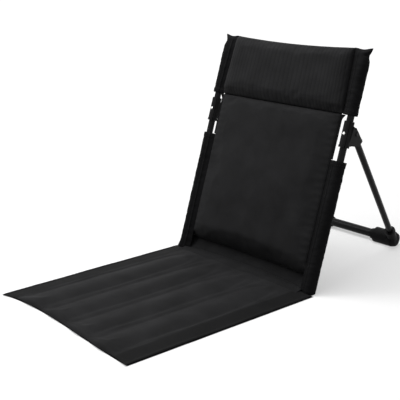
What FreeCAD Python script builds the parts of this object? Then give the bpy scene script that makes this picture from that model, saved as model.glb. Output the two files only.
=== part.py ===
import FreeCAD, Part
import math
import os
import Sketcher
from FreeCAD import Placement, Rotation, Vector

# Folding beach chair: a padded seat that lies on the ground, a reclined padded back on two
# uprights, and a folding rear support. Lengths in millimetres, angles in degrees.
# Frame: +Z up, +Y towards the rear, origin on the ground at the middle of the footprint.
SIZES = {
    # back frame
    "recline_angle": 17.0,
    "upright_spacing": 425.0,
    "upright_length": 515.0,
    "tube_diameter": 16.0,
    "tube_wall": 1.2,
    "plug_stem": 24.0,
    "plug_lip": 0.8,
    "plug_head": 6.0,
    "stem_rib": 1.4,
    # clearances
    "push_gap": 0.1,
    "pin_gap": 0.05,
    "seat_gap": 0.3,
    # hinge brackets
    "bracket_rise": 330.0,
    "bracket_length": 58.0,
    "clamp_wall": 3.2,
    "groove_depth": 1.4,
    "groove_half_angle": 8.0,
    "groove_angle": 48.0,
    "collar_height": 5.0,
    "collar_lip": 0.8,
    "rivet_rise": 30.0,
    "rivet_diameter": 4.0,
    "rivet_head_diameter": 7.0,
    "rivet_head_height": 1.8,
    "rivet_head_top": 4.2,
    # hood of the bracket, over the pivot
    "pivot_rise": 365.0,
    "pivot_set_back": 22.0,
    "hood_wall": 2.4,
    "hood_fall": 3.0,
    "hood_length": 34.0,
    "hood_head": 14.0,
    "hood_round": 3.5,
    "hood_lip": 1.5,
    "hood_lip_length": 5.0,
    "cheek_drop": 6.0,
    "cheek_low": 5.0,
    "cheek_high": 50.0,
    "arch_radius": 11.0,
    "arch_set_back": 18.0,
    "arch_rise": -3.0,
    "swing_room": 1.4,
    "boss_radius": 5.6,
    "boss_height": 1.4,
    "pin_diameter": 6.0,
    "pin_head_diameter": 9.0,
    "pin_head_height": 1.0,
    # rear support
    "leg_spread_angle": 57.9,
    "leg_diameter": 15.0,
    "leg_wall": 1.2,
    "eye_length": 41.0,
    "spigot_length": 25.0,
    "foot_spacing": 264.0,
    "foot_axis_height": 17.0,
    "cross_tube_diameter": 22.0,
    "cross_tube_wall": 1.2,
    "foot_radius": 20.0,
    "foot_length": 52.5,
    "foot_toe": 12.0,
    "foot_toe_round": 10.0,
    "foot_collar_length": 12.0,
    "foot_collar_wall": 2.6,
    "foot_socket_wall": 4.2,
    "foot_socket_reach": 41.0,
    "foot_rim_length": 6.0,
    "foot_rim_lip": 2.0,
    "leg_seat_reach": 12.0,
    "cross_seat_depth": 40.0,
    # cloth of the back
    "cloth": 1.0,
    "sleeve_radius": 13.0,
    "sleeve_set_back": 1.2,
    "seam_set_in": 27.0,
    "seam_set_forward": 7.4,
    "sleeve_hem": 10.0,
    "lower_sleeve_top": 298.7,
    "upper_sleeve_low": 401.2,
    "horn_rise": 550.5,
    "horn_set_out": 17.5,
    "back_rear_set_forward": 3.2,
    "back_low": 33.0,
    "back_top": 548.0,
    "back_top_sag": 5.5,
    "back_edge": 4.2,
    "back_crest": 8.5,
    "back_shoulder": 60.0,
    "back_roll": 27.0,
    "pad_thin_share": 0.3,
    "pad_least_rise": 0.2,
    "headrest_crest": 13.0,
    "headrest_shoulder": 26.0,
    "headrest_roll": 17.0,
    "binding_width": 6.2,
    "binding_thickness": 2.2,
    "binding_gap": 0.6,
    "binding_bevel": 0.9,
    # seat
    "seat_overhang": 37.0,
    "seat_draw_in": 6.0,
    "seat_length": 514.0,
    "seat_set_forward": 4.4,
    "seat_channel": 92.0,
    "seat_rim": 2.4,
    "seat_valley": 5.0,
    "seat_end_valley": 3.4,
    "seat_crest": 13.0,
    "seat_end_taper": 26.0,
    "foam_inset": 5.0,
}

doc = FreeCAD.newDocument("folding_beach_chair")


def make_sheet():
    sheet = doc.addObject("Spreadsheet::Sheet", "sizes")
    for row, (alias, value) in enumerate(SIZES.items(), 1):
        sheet.set("A%d" % row, alias)
        sheet.set("B%d" % row, str(value))
        sheet.setAlias("B%d" % row, alias)
    doc.recompute()
    return sheet


class Size:
    """A value from the sheet, with the expression that follows the sheet's cells."""

    def __init__(self, value, text):
        self.value = value
        self.text = text

    def __add__(self, other):
        other = as_size(other)
        return Size(self.value + other.value, "(%s + %s)" % (self.text, other.text))

    def __sub__(self, other):
        other = as_size(other)
        return Size(self.value - other.value, "(%s - %s)" % (self.text, other.text))

    def __mul__(self, other):
        other = as_size(other)
        return Size(self.value * other.value, "(%s * %s)" % (self.text, other.text))

    def __truediv__(self, other):
        other = as_size(other)
        return Size(self.value / other.value, "(%s / %s)" % (self.text, other.text))

    def __neg__(self):
        return self * -1

    def __float__(self):
        return float(self.value)


def as_size(term):
    if isinstance(term, Size):
        return term
    return Size(float(term), "%r" % float(term))


def sine(angle):
    return Size(math.sin(math.radians(angle.value)), "sin(%s)" % angle.text)


def cosine(angle):
    return Size(math.cos(math.radians(angle.value)), "cos(%s)" % angle.text)


def tangent(angle):
    return Size(math.tan(math.radians(angle.value)), "tan(%s)" % angle.text)


sheet = make_sheet()
dim = {alias: Size(float(sheet.get(alias)), "sizes." + alias) for alias in SIZES}

# Sizes that several pieces share
recline = dim["recline_angle"]
leg_lean = dim["leg_spread_angle"] - recline
upright_x = dim["upright_spacing"] / 2
tube_radius = dim["tube_diameter"] / 2
leg_radius = dim["leg_diameter"] / 2
pin_radius = dim["pin_diameter"] / 2
cross_radius = dim["cross_tube_diameter"] / 2
seam_x = upright_x - dim["seam_set_in"]
seat_width = dim["upright_spacing"] + dim["seat_overhang"]
clamp_radius = tube_radius + dim["push_gap"] + dim["clamp_wall"]
plug_radius = tube_radius + dim["plug_lip"]
hood_room = leg_radius + dim["seat_gap"]
hood_top = hood_room + dim["hood_wall"]
outer_room = leg_radius + dim["seat_gap"] * 1.5
inner_room = outer_room + dim["swing_room"]
outer_face = outer_room + dim["hood_wall"]
inner_face = inner_room + dim["hood_wall"]

# Places measured from the crease, where the back meets the ground
pivot_y = dim["pivot_rise"] * sine(recline) + dim["pivot_set_back"] * cosine(recline)
pivot_z = dim["pivot_rise"] * cosine(recline) - dim["pivot_set_back"] * sine(recline)
foot_y = pivot_y + (pivot_z - dim["foot_axis_height"]) * tangent(leg_lean)
leg_drop = (pivot_z - dim["foot_axis_height"]) / cosine(leg_lean)
crease_y = (dim["seat_length"] - foot_y - dim["foot_radius"]) / 2
plug_low = dim["cloth"] + dim["seat_gap"] + plug_radius * sine(recline)
upright_lift = plug_low / cosine(recline) + dim["plug_head"]

# The leg's run from its pivot to the foot, in the leaning plane of the rear support
toe_in = math.degrees(math.atan2(float(upright_x - dim["foot_spacing"] / 2), float(leg_drop)))
leg_run = math.hypot(float(upright_x - dim["foot_spacing"] / 2), float(leg_drop))

BACK_TURN = Rotation(Vector(1, 0, 0), -float(recline))
BACK_PLACE = Placement(Vector(0, float(crease_y), 0), BACK_TURN)
LAID_FLAT = Rotation(Vector(1, 0, 0), 90)
SIDES = {"left": -1, "right": 1}
ROUND_STEPS = 2
CHORDS = 4
STEM_RIBS = 8
HORN_STEPS = 6
END_SHARES = (0.0, 0.15, 0.5, 1.0)
parts = []


def bind(target, **sizes):
    for name, size in sizes.items():
        target.setExpression(name, as_size(size).text)


def keep(target, label, place=None):
    target.Label = label
    if place is not None:
        target.Placement = place
    parts.append(target)
    return target


def back_place(x=0.0, rise=0.0):
    return BACK_PLACE.multiply(Placement(Vector(float(x), 0, float(rise)), Rotation()))


def support_place(side):
    """Frame at a leg's pivot, with -Z running down the leg."""
    pivot = Vector(side * float(upright_x), float(crease_y + pivot_y), float(pivot_z))
    lean = Rotation(Vector(1, 0, 0), float(leg_lean))
    toe = Rotation(Vector(0, 1, 0), side * toe_in)
    return Placement(pivot, lean.multiply(toe))


# Sketch and feature helpers
def new_body(name):
    return doc.addObject("PartDesign::Body", name)


def new_sketch(body, name, role):
    sketch = body.newObject("Sketcher::SketchObject", name)
    base = next(item for item in body.Origin.OriginFeatures if item.Role == role)
    sketch.AttachmentSupport = (base, [""])
    sketch.MapMode = "FlatFace"
    return sketch


def pin_point(sketch, edge, end, x, y):
    for kind, size in (("DistanceX", x), ("DistanceY", y)):
        index = sketch.addConstraint(Sketcher.Constraint(kind, edge, end, size.value))
        sketch.setExpression("Constraints[%d]" % index, size.text)


def draw_polygon(sketch, corners):
    corners = [(as_size(x), as_size(y)) for x, y in corners]
    spots = [Vector(x.value, y.value, 0) for x, y in corners]
    count = len(corners)
    edges = [sketch.addGeometry(Part.LineSegment(spots[i], spots[(i + 1) % count]), False)
             for i in range(count)]
    for i in range(count):
        sketch.addConstraint(Sketcher.Constraint("Coincident", edges[i], 2, edges[(i + 1) % count], 1))
    for edge, (x, y) in zip(edges, corners):
        pin_point(sketch, edge, 1, x, y)


def draw_circle(sketch, x, y, radius):
    x, y, radius = as_size(x), as_size(y), as_size(radius)
    circle = Part.Circle(Vector(x.value, y.value, 0), Vector(0, 0, 1), radius.value)
    edge = sketch.addGeometry(circle, False)
    pin_point(sketch, edge, 3, x, y)
    index = sketch.addConstraint(Sketcher.Constraint("Radius", edge, radius.value))
    sketch.setExpression("Constraints[%d]" % index, radius.text)


def add_feature(body, kind, name, sketch, length, other_way=None):
    feature = body.newObject("PartDesign::" + kind, name)
    feature.Profile = sketch
    bind(feature, Length=length)
    if other_way is not None:
        feature.SideType = "Two sides"
        bind(feature, Length2=other_way)
    return feature


def add_pocket(body, name, sketch, with_normal, against_normal):
    """Cut to both sides of a sketch; a pocket counts its first length against the normal."""
    doc.recompute()
    before = body.Shape.Volume
    add_feature(body, "Pocket", name, sketch, against_normal, with_normal)
    doc.recompute()
    if body.Shape.Volume > before - 1.0:
        raise RuntimeError("%s cuts nothing" % name)


def fillet_edges(body, name, radius, test):
    doc.recompute()
    tip = body.Tip
    names = ["Edge%d" % (i + 1) for i, edge in enumerate(tip.Shape.Edges) if test(edge)]
    fillet = body.newObject("PartDesign::Fillet", name)
    fillet.Base = (tip, names)
    bind(fillet, Radius=radius)


def cylinder(name, radius, length, place):
    solid = doc.addObject("Part::Cylinder", name)
    bind(solid, Radius=radius, Height=length)
    solid.Placement = place
    return solid


def cube(name, side_length, place):
    """Cube that stands on the middle of its place."""
    solid = doc.addObject("Part::Box", name)
    bind(solid, Length=side_length, Width=side_length, Height=side_length)
    middle = Vector(-float(side_length) / 2, -float(side_length) / 2, 0)
    solid.Placement = place.multiply(Placement(middle, Rotation()))
    return solid


def fuse(name, solids):
    whole = doc.addObject("Part::MultiFuse", name)
    whole.Shapes = solids
    return whole


def cut(name, base, tools):
    result = doc.addObject("Part::Cut", name)
    result.Base = base
    result.Tool = fuse(name + "_cuts", tools) if len(tools) > 1 else tools[0]
    return result


def tube(label, radius, wall, length, place):
    body = new_body(label)
    ring = new_sketch(body, label + "_ring", "XY_Plane")
    draw_circle(ring, 0, 0, radius)
    draw_circle(ring, 0, 0, radius - wall)
    add_feature(body, "Pad", label + "_run", ring, length)
    body.Placement = place
    return body


def rounded_end(radius, end, rounding, way):
    """Outline of a rounded end, in short straight steps from its side to its flat."""
    points = []
    for step in range(ROUND_STEPS + 1):
        turn = math.pi / 2 * step / ROUND_STEPS
        inward = rounding * (1 - math.cos(turn))
        short = rounding * (1 - math.sin(turn))
        points.append((radius - inward, end - short * way))
    return points


def revolved(label, profile):
    body = new_body(label)
    half = new_sketch(body, label + "_half", "XZ_Plane")
    draw_polygon(half, profile)
    turn = body.newObject("PartDesign::Revolution", label + "_turn")
    turn.Profile = half
    turn.ReferenceAxis = (half, ["V_Axis"])
    turn.Angle = 360
    return body


# Uprights, with a hole through each for its bracket rivet
def upright(label, side):
    rise = upright_lift
    body = tube(label, tube_radius, dim["tube_wall"], dim["upright_length"], Placement())
    hole = new_sketch(body, label + "_hole", "XZ_Plane")
    rivet_at = dim["bracket_rise"] + dim["rivet_rise"] - rise
    draw_circle(hole, 0, rivet_at, dim["rivet_diameter"] / 2 + dim["push_gap"])
    add_feature(body, "Pocket", label + "_drill", hole, tube_radius * 2).Reversed = True
    keep(body, label, back_place(side * float(upright_x), rise))


def ribbed_stem(body, name, radius, length, level):
    """Ribbed stem that is pushed into a tube, hanging down from a level of its body."""
    star = new_sketch(body, name + "_star", "XY_Plane")
    star.AttachmentOffset = Placement(Vector(0, 0, float(level)), Rotation())
    corners = []
    for step in range(2 * STEM_RIBS):
        turn = math.pi * step / STEM_RIBS
        far = radius - dim["stem_rib"] if step % 2 else radius
        corners.append((far * math.cos(turn), far * math.sin(turn)))
    draw_polygon(star, corners)
    add_feature(body, "Pad", name, star, length).Reversed = True


# Plastic plugs that close the tube ends inside the cloth pockets
def tube_plug(label, side, rise, up):
    body = new_body(label)
    head = new_sketch(body, label + "_head", "XY_Plane")
    draw_circle(head, 0, 0, plug_radius)
    add_feature(body, "Pad", label + "_head_pad", head, dim["plug_head"])
    stem = tube_radius - dim["tube_wall"] - dim["push_gap"]
    ribbed_stem(body, label + "_stem", stem, dim["plug_stem"], 0)
    flip = Rotation(Vector(1, 0, 0), 0 if up else 180)
    place = back_place(side * float(upright_x), rise)
    keep(body, label, place.multiply(Placement(Vector(), flip)))


# Moulded bracket: a clamp round the upright, and a hood over the leg's pivot behind it
def leg_view(set_back, rise):
    """Point of the bracket's side view, turned into the side view of the leg."""
    spread = dim["leg_spread_angle"]
    back = as_size(set_back) - dim["pivot_set_back"]
    up = as_size(rise) - (dim["pivot_rise"] - dim["bracket_rise"])
    return back * cosine(spread) + up * sine(spread), up * cosine(spread) - back * sine(spread)


def sideways(side, outward, inward):
    return (outward, inward) if side > 0 else (inward, outward)


def bracket_clamp(label, side):
    body = new_body(label)
    ring = new_sketch(body, label + "_ring", "XY_Plane")
    draw_circle(ring, 0, 0, clamp_radius)
    add_feature(body, "Pad", label + "_pad", ring, dim["bracket_length"])
    collar = new_sketch(body, label + "_collar", "XY_Plane")
    draw_circle(collar, 0, 0, clamp_radius + dim["collar_lip"])
    add_feature(body, "Pad", label + "_collar_pad", collar, dim["collar_height"])
    grooves = new_sketch(body, label + "_grooves", "XY_Plane")
    floor_radius = clamp_radius - dim["groove_depth"]
    brim_radius = clamp_radius + dim["collar_lip"] * 2
    for way in (-1, 1):
        near = dim["groove_angle"] - dim["groove_half_angle"]
        far = dim["groove_angle"] + dim["groove_half_angle"]
        draw_polygon(grooves, [
            (brim_radius * sine(near) * way, -brim_radius * cosine(near)),
            (floor_radius * sine(dim["groove_angle"]) * way, -floor_radius * cosine(dim["groove_angle"])),
            (brim_radius * sine(far) * way, -brim_radius * cosine(far)),
        ])
    reach = dim["bracket_length"] * 2
    add_pocket(body, label + "_groove_cut", grooves, reach, reach)
    body.Placement = back_place(side * float(upright_x), dim["bracket_rise"])
    return body


def bracket_hood(label, side):
    """Roof and cheeks over the leg, drawn in the leg's own frame so that they follow its toe-in."""
    body = new_body(label)
    mouth = dim["hood_length"]
    head = dim["hood_head"]
    roof = new_sketch(body, label + "_roof", "YZ_Plane")
    draw_polygon(roof, [
        (-dim["cheek_drop"], head),
        (-dim["cheek_drop"], -mouth),
        (hood_top, -mouth),
        (hood_top - dim["hood_fall"], head),
    ])
    add_feature(body, "Pad", label + "_roof_pad", roof, *sideways(side, outer_face, inner_face))
    lowest = float(hood_top - dim["hood_fall"]) - 0.01
    fillet_edges(body, label + "_roof_round", dim["hood_round"],
                 lambda edge: edge.BoundBox.YMin > lowest and edge.BoundBox.ZLength > 1.0)

    lip = new_sketch(body, label + "_lip", "YZ_Plane")
    lip_start = dim["hood_lip_length"] - mouth
    draw_polygon(lip, [
        (hood_room, lip_start),
        (hood_room, -mouth),
        (hood_top + dim["hood_lip"], -mouth),
        (hood_top + dim["hood_lip"], lip_start - dim["hood_lip"]),
        (hood_top, lip_start),
    ])
    lip_sides = sideways(side, outer_face - dim["hood_round"], inner_face - dim["hood_round"])
    add_feature(body, "Pad", label + "_lip_pad", lip, *lip_sides)

    cheek = new_sketch(body, label + "_cheek", "YZ_Plane")
    draw_polygon(cheek, [
        leg_view(0, dim["cheek_low"]),
        (-leg_radius, -mouth),
        (0, -mouth),
        (0, head),
        leg_view(0, dim["cheek_high"]),
    ])
    cheek_sides = sideways(side, outer_face, 0.0)
    add_feature(body, "Pad", label + "_cheek_pad", cheek, *cheek_sides)
    arch = new_sketch(body, label + "_arch", "YZ_Plane")
    draw_circle(arch, *leg_view(dim["arch_set_back"], dim["arch_rise"]), dim["arch_radius"])
    add_pocket(body, label + "_arch_cut", arch, *sideways(side, outer_face * 2, leg_radius))
    body.Placement = support_place(side)
    return body


def swing_space(label, side):
    """Space that the leg sweeps between its spread and its folded place."""
    body = new_body(label)
    spread = dim["leg_spread_angle"]
    past = dim["hood_length"] * 3
    space = new_sketch(body, label + "_sweep", "YZ_Plane")
    near = (-hood_room * cosine(spread), hood_room * sine(spread))
    draw_polygon(space, [
        (hood_room, 0),
        near,
        (near[0] - past * sine(spread), near[1] - past * cosine(spread)),
        (-past, -past),
        (hood_room, -past),
    ])
    add_feature(body, "Pad", label + "_pad", space, *sideways(side, outer_room, inner_room))
    body.Placement = support_place(side)
    return body


def hinge_bracket(label, side):
    boss_in = inner_face + dim["boss_height"]
    boss_out = outer_face + dim["boss_height"]
    reach = dim["bracket_length"] * 2
    rivet_hole = dim["rivet_diameter"] / 2 + dim["push_gap"]
    bore_place = back_place(side * float(upright_x), dim["bracket_rise"] - dim["bracket_length"] / 2)
    solids = [
        bracket_clamp(label + "_clamp", side),
        bracket_hood(label + "_hood", side),
        cylinder(label + "_boss", dim["boss_radius"], boss_in + boss_out, along_pin(side, boss_in)),
    ]
    cuts = [
        cylinder(label + "_bore", tube_radius + dim["push_gap"], reach, bore_place),
        swing_space(label + "_space", side),
        cylinder(label + "_eye_space", hood_room, inner_room + outer_room, along_pin(side, inner_room)),
        cylinder(label + "_pin_hole", pin_radius + dim["pin_gap"], boss_in + boss_out + dim["hood_wall"],
                 along_pin(side, boss_in + dim["hood_wall"] / 2)),
        cylinder(label + "_rivet_hole", rivet_hole, reach, rivet_place(side)),
    ]
    keep(cut(label, fuse(label + "_whole", solids), cuts), label)


# Rivets through the front of bracket and upright
def bracket_rivet(name):
    half = dim["rivet_diameter"] / 2
    head = dim["rivet_head_diameter"] / 2
    tall = dim["rivet_head_height"]
    return revolved(name, [
        (0, 0),
        (half, 0),
        (half, clamp_radius),
        (head, clamp_radius),
        (dim["rivet_head_top"] / 2, clamp_radius + tall),
        (0, clamp_radius + tall),
    ])


# Pivot pins through the cheeks of the brackets, headed outside and flush with a stub inside
def pivot_pin(name):
    outer = outer_face + dim["boss_height"]
    inner = inner_face + dim["boss_height"]
    head = dim["pin_head_diameter"] / 2
    tall = dim["pin_head_height"]
    return revolved(name, [
        (0, -inner - tall),
        (pin_radius, -inner - tall),
        (pin_radius, outer),
        (head, outer),
        (head, outer + tall),
        (0, outer + tall),
    ])


def grouped_pair(label, make, place_of):
    """Two like pieces that share a node, as two separate solids."""
    pieces = []
    for word, side in SIDES.items():
        piece = make(word + "_" + label)
        piece.Placement = place_of(side)
        pieces.append(piece)
    pair = doc.addObject("Part::Compound", label)
    pair.Links = pieces
    keep(pair, label)


def rivet_place(side):
    rise = dim["bracket_rise"] + dim["rivet_rise"]
    forward = Rotation(Vector(1, 0, 0), 90)
    return back_place(side * float(upright_x), rise).multiply(Placement(Vector(), forward))


def along_pin(side, inward):
    """Frame on the pin's line, some way inward of the pivot, with +Z running outward."""
    spot = Vector(side * float(upright_x - inward), float(crease_y + pivot_y), float(pivot_z))
    return Placement(spot, Rotation(Vector(0, 1, 0), 90 * side))


def pin_place(side):
    return along_pin(side, as_size(0))


# Rear support: leg eyes, legs, corner feet and the cross tube between the feet
def leg_eye(label, side):
    spigot = leg_radius - dim["leg_wall"] - dim["push_gap"]
    shank = new_body(label + "_shank")
    round_end = new_sketch(shank, label + "_round_end", "XY_Plane")
    draw_circle(round_end, 0, 0, leg_radius)
    add_feature(shank, "Pad", label + "_round_pad", round_end, leg_radius, dim["eye_length"])
    ribbed_stem(shank, label + "_spigot", spigot, dim["spigot_length"], -dim["eye_length"])
    shank.Placement = support_place(side)
    # The pin runs level through the toed-in leg: the top is rounded about it, and flat beside the cheek
    reach = dim["leg_diameter"] * 2
    above = cube(label + "_above", reach, support_place(side))
    beside = cube(label + "_beside", reach, along_pin(side, -leg_radius - dim["push_gap"]))
    rounding = cylinder(label + "_rounding", leg_radius, reach * 2, along_pin(side, reach))
    hole = cylinder(label + "_pin_hole", pin_radius + dim["pin_gap"], reach * 2, along_pin(side, reach))
    keep(cut(label, shank, [cut(label + "_corners", above, [rounding]), beside, hole]), label)


def rear_leg(label, side):
    length = leg_run - float(dim["eye_length"]) - float(dim["leg_seat_reach"])
    body = tube(label, leg_radius, dim["leg_wall"], length, Placement())
    drop = Placement(Vector(0, 0, -float(dim["eye_length"]) - length), Rotation())
    keep(body, label, support_place(side).multiply(drop))


def corner_foot(label, side):
    centre = Vector(side * float(dim["foot_spacing"] / 2), float(crease_y + foot_y),
                    float(dim["foot_axis_height"]))
    inward = Rotation(Vector(0, 1, 0), -90 * side)
    up_leg = support_place(side).Rotation
    leg_line = Placement(centre, up_leg)
    bore_start = Placement(centre + up_leg.multVec(Vector(0, 0, float(dim["leg_seat_reach"]))), up_leg)
    rim_from = float(dim["foot_socket_reach"] - dim["foot_rim_length"])
    rim_place = Placement(centre + up_leg.multVec(Vector(0, 0, rim_from)), up_leg)
    tube_from = float(dim["foot_length"] + dim["foot_collar_length"] - dim["cross_seat_depth"])
    tube_place = Placement(centre + inward.multVec(Vector(0, 0, tube_from)), inward)
    socket_radius = leg_radius + dim["push_gap"] + dim["foot_socket_wall"]
    collar_radius = cross_radius + dim["push_gap"] + dim["foot_collar_wall"]

    barrel = revolved(label + "_barrel", [
        (0, -dim["foot_toe"]),
        *reversed(rounded_end(dim["foot_radius"], -dim["foot_toe"], dim["foot_toe_round"], -1)),
        (dim["foot_radius"], dim["foot_length"]),
        (collar_radius, dim["foot_length"]),
        (collar_radius, dim["foot_length"] + dim["foot_collar_length"]),
        (0, dim["foot_length"] + dim["foot_collar_length"]),
    ])
    barrel.Placement = Placement(centre, inward)
    solids = [
        barrel,
        cylinder(label + "_socket", socket_radius, dim["foot_socket_reach"], leg_line),
        cylinder(label + "_rim", socket_radius + dim["foot_rim_lip"], dim["foot_rim_length"], rim_place),
    ]
    reach = dim["foot_length"] * 4
    ground = cube(label + "_ground", reach, Placement(Vector(centre.x, centre.y, -float(reach)), Rotation()))
    cuts = [
        cylinder(label + "_leg_bore", leg_radius + dim["push_gap"], dim["foot_socket_reach"], bore_start),
        cylinder(label + "_tube_bore", cross_radius + dim["push_gap"], dim["cross_seat_depth"], tube_place),
        ground,
    ]
    keep(cut(label, fuse(label + "_whole", solids), cuts), label)


def cross_tube(label):
    inner_end = dim["foot_spacing"] / 2 - dim["foot_length"] - dim["foot_collar_length"]
    length = (inner_end + dim["cross_seat_depth"] - dim["push_gap"]) * 2
    start = Vector(-float(length) / 2, float(crease_y + foot_y), float(dim["foot_axis_height"]))
    place = Placement(start, Rotation(Vector(0, 1, 0), 90))
    keep(tube(label, cross_radius, dim["cross_tube_wall"], length, place), label)


# Cloth forms
def soft_piece(label, shape, place):
    piece = doc.addObject("Part::Feature", label)
    piece.Shape = shape
    keep(piece, label, place)


class Teardrop:
    """Section of a cloth sleeve: a loop round the upright that closes at the panel's seam."""

    def __init__(self, radius, side, rise):
        self.radius = radius
        self.side = side
        self.centre = Vector(side * float(upright_x), float(dim["sleeve_set_back"]), rise)
        seam_at = side * float(seam_x + dim["seat_gap"])
        seam = Vector(seam_at, -float(dim["seam_set_forward"]), rise) - self.centre
        shrink = min(1.0, radius / float(dim["sleeve_radius"]))
        self.tip = self.centre + seam * shrink
        self.reach = math.degrees(math.acos(radius / (seam.Length * shrink)))
        self.toward = math.degrees(math.atan2(seam.y, seam.x))

    def spot(self, share):
        """Point on the round of the loop, by its share of the way round."""
        turn = self.reach + (360 - 2 * self.reach) * share
        angle = math.radians(self.toward + turn * self.side)
        return self.centre + Vector(math.cos(angle), math.sin(angle), 0) * self.radius

    def wire(self):
        return Part.Wire([
            Part.LineSegment(self.tip, self.spot(0)).toShape(),
            Part.Arc(self.spot(0), self.spot(0.25), self.spot(0.5)).toShape(),
            Part.Arc(self.spot(0.5), self.spot(0.75), self.spot(1)).toShape(),
            Part.LineSegment(self.spot(1), self.tip).toShape(),
        ])


def sleeve_run(radius, side, low, high):
    return Part.Face(Teardrop(radius, side, low).wire()).extrude(Vector(0, 0, high - low))


def below_ground(height):
    """Block under a level plane, in the frame of the back."""
    reach = float(seat_width)
    block = Part.makeBox(reach * 2, reach * 2, reach, Vector(-reach, -reach, height - reach))
    block.rotate(Vector(), Vector(1, 0, 0), float(recline))
    return block


def flat_sided(rows):
    """Solid through closed rows of points, with flat triangles for its sides."""
    faces = [Part.Face(Part.makePolygon(row + row[:1])) for row in (rows[0], rows[-1])]
    for lower, upper in zip(rows, rows[1:]):
        for i in range(len(lower)):
            j = (i + 1) % len(lower)
            for corners in ((lower[i], lower[j], upper[j]), (lower[i], upper[j], upper[i])):
                faces.append(Part.Face(Part.makePolygon([*corners, corners[0]])))
    solid = Part.Solid(Part.Shell(faces))
    if solid.Volume < 0:
        solid.reverse()
    return solid


def sleeve_horn(side, low):
    """Cloth above the tube's end, drawn flat towards the pointed outer corner."""
    cloth = float(dim["cloth"])
    loop = Teardrop(float(dim["sleeve_radius"]), side, low)
    inner = Vector(loop.tip.x, loop.tip.y, float(dim["back_top"]))
    outer = Vector(side * float(upright_x + dim["horn_set_out"]), 0, float(dim["horn_rise"]))
    lower = [loop.tip]
    upper = [inner]
    for step in range(HORN_STEPS + 1):
        share = step / HORN_STEPS
        lower.append(loop.spot(share))
        across = 1 - abs(2 * share - 1) / 2
        bulge = math.copysign(cloth, lower[-1].y - loop.centre.y) if across < 1 else 0
        upper.append(inner + (outer - inner) * across + Vector(0, bulge, 0))
    return flat_sided([lower, upper])


def upper_sleeve(label, side):
    cloth = float(dim["cloth"])
    radius = float(dim["sleeve_radius"])
    low = float(dim["upper_sleeve_low"])
    neck = float(upright_lift + dim["upright_length"] + dim["plug_head"] + dim["seat_gap"])
    loop = sleeve_run(radius, side, low, neck + cloth)
    hem = sleeve_run(radius + cloth / 2, side, low, low + float(dim["sleeve_hem"]))
    inside = sleeve_run(radius - cloth, side, low - cloth, neck)
    whole = loop.fuse([hem, sleeve_horn(side, neck + cloth)]).removeSplitter()
    soft_piece(label, whole.cut(inside), BACK_PLACE)


def lower_sleeve(label, side):
    cloth = float(dim["cloth"])
    radius = float(dim["sleeve_radius"])
    high = float(dim["lower_sleeve_top"])
    loop = sleeve_run(radius, side, -radius, high)
    hem = sleeve_run(radius + cloth / 2, side, high - float(dim["sleeve_hem"]), high)
    inside = sleeve_run(radius - cloth, side, -radius, high + cloth).cut(below_ground(cloth))
    whole = loop.fuse(hem).removeSplitter().cut(below_ground(0.0))
    soft_piece(label, whole.cut(inside), BACK_PLACE)


def arched(left, right, low, high):
    """Points over a low arch, in even chords from one foot to the other."""
    points = []
    for step in range(CHORDS + 1):
        share = step / CHORDS
        points.append((left + (right - left) * share, low + (high - low) * 4 * share * (1 - share)))
    return points


def shouldered_section(half_width, run, base, edge, crest, shoulder):
    """Section of a pad: upright edges, rounded shoulders and a level top."""
    outline = [(-half_width, base)]
    for step in range(CHORDS):
        share = step / (CHORDS - 1)
        outline.append((-half_width + shoulder * share, edge + (crest - edge) * swelling(share)))
    outline += [(-x, z) for x, z in reversed(outline)]
    return [Vector(x, run, z) for x, z in outline]


def swelling(share):
    """Share of a pad's full height, some way along its rolled end."""
    return math.sqrt(1 - (1 - share) ** 2)


def pad_stations(low, high, low_roll, high_roll, edge, crest, base):
    """Run, edge and crest of a pad whose two ends roll over towards the rear cloth."""
    runs = [(low + low_roll * share, share) for share in END_SHARES]
    runs += [(high - high_roll * share, share) for share in reversed(END_SHARES)]
    thin = (edge - base) * float(dim["pad_thin_share"])
    least = thin + float(dim["pad_least_rise"])
    stations = []
    for run, share in runs:
        swell = swelling(share)
        edge_at = base + thin + (edge - base - thin) * swell
        crest_at = base + least + (crest - base - least) * swell
        stations.append((run, edge_at, crest_at))
    return stations


def back_pad(low, high, low_roll, high_roll, crest, shoulder, gap):
    """Pad of the back, lying flat; a gap above zero gives the filling inside its cloth."""
    base = float(dim["cloth"])
    half_width = float(seam_x) - gap * float(dim["foam_inset"]) * 2
    inset = gap * float(dim["foam_inset"])
    drop = gap * base
    stations = pad_stations(low + inset, high - inset, low_roll, high_roll,
                            float(dim["back_edge"]) - drop, crest - drop, base)
    sections = [shouldered_section(half_width, run, base, edge, top, shoulder)
                for run, edge, top in stations]
    return flat_sided(sections)


def top_sag():
    """Block that hollows the top edge of the back between its corners."""
    tall = float(dim["headrest_crest"]) * 4
    top = float(dim["back_top"])
    reach = float(seam_x)
    hollow = arched(-reach, reach, top, top - float(dim["back_top_sag"]))
    outline = [(-reach, top + tall), *hollow, (reach, top + tall)]
    corners = [Vector(x, run, -tall / 2) for x, run in outline]
    return Part.Face(Part.makePolygon(corners + corners[:1])).extrude(Vector(0, 0, tall))


def flat_place():
    """Place of a piece that was drawn lying on its back."""
    forward = Placement(Vector(0, -float(dim["back_rear_set_forward"]), 0), LAID_FLAT)
    return BACK_PLACE.multiply(forward)


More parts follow.
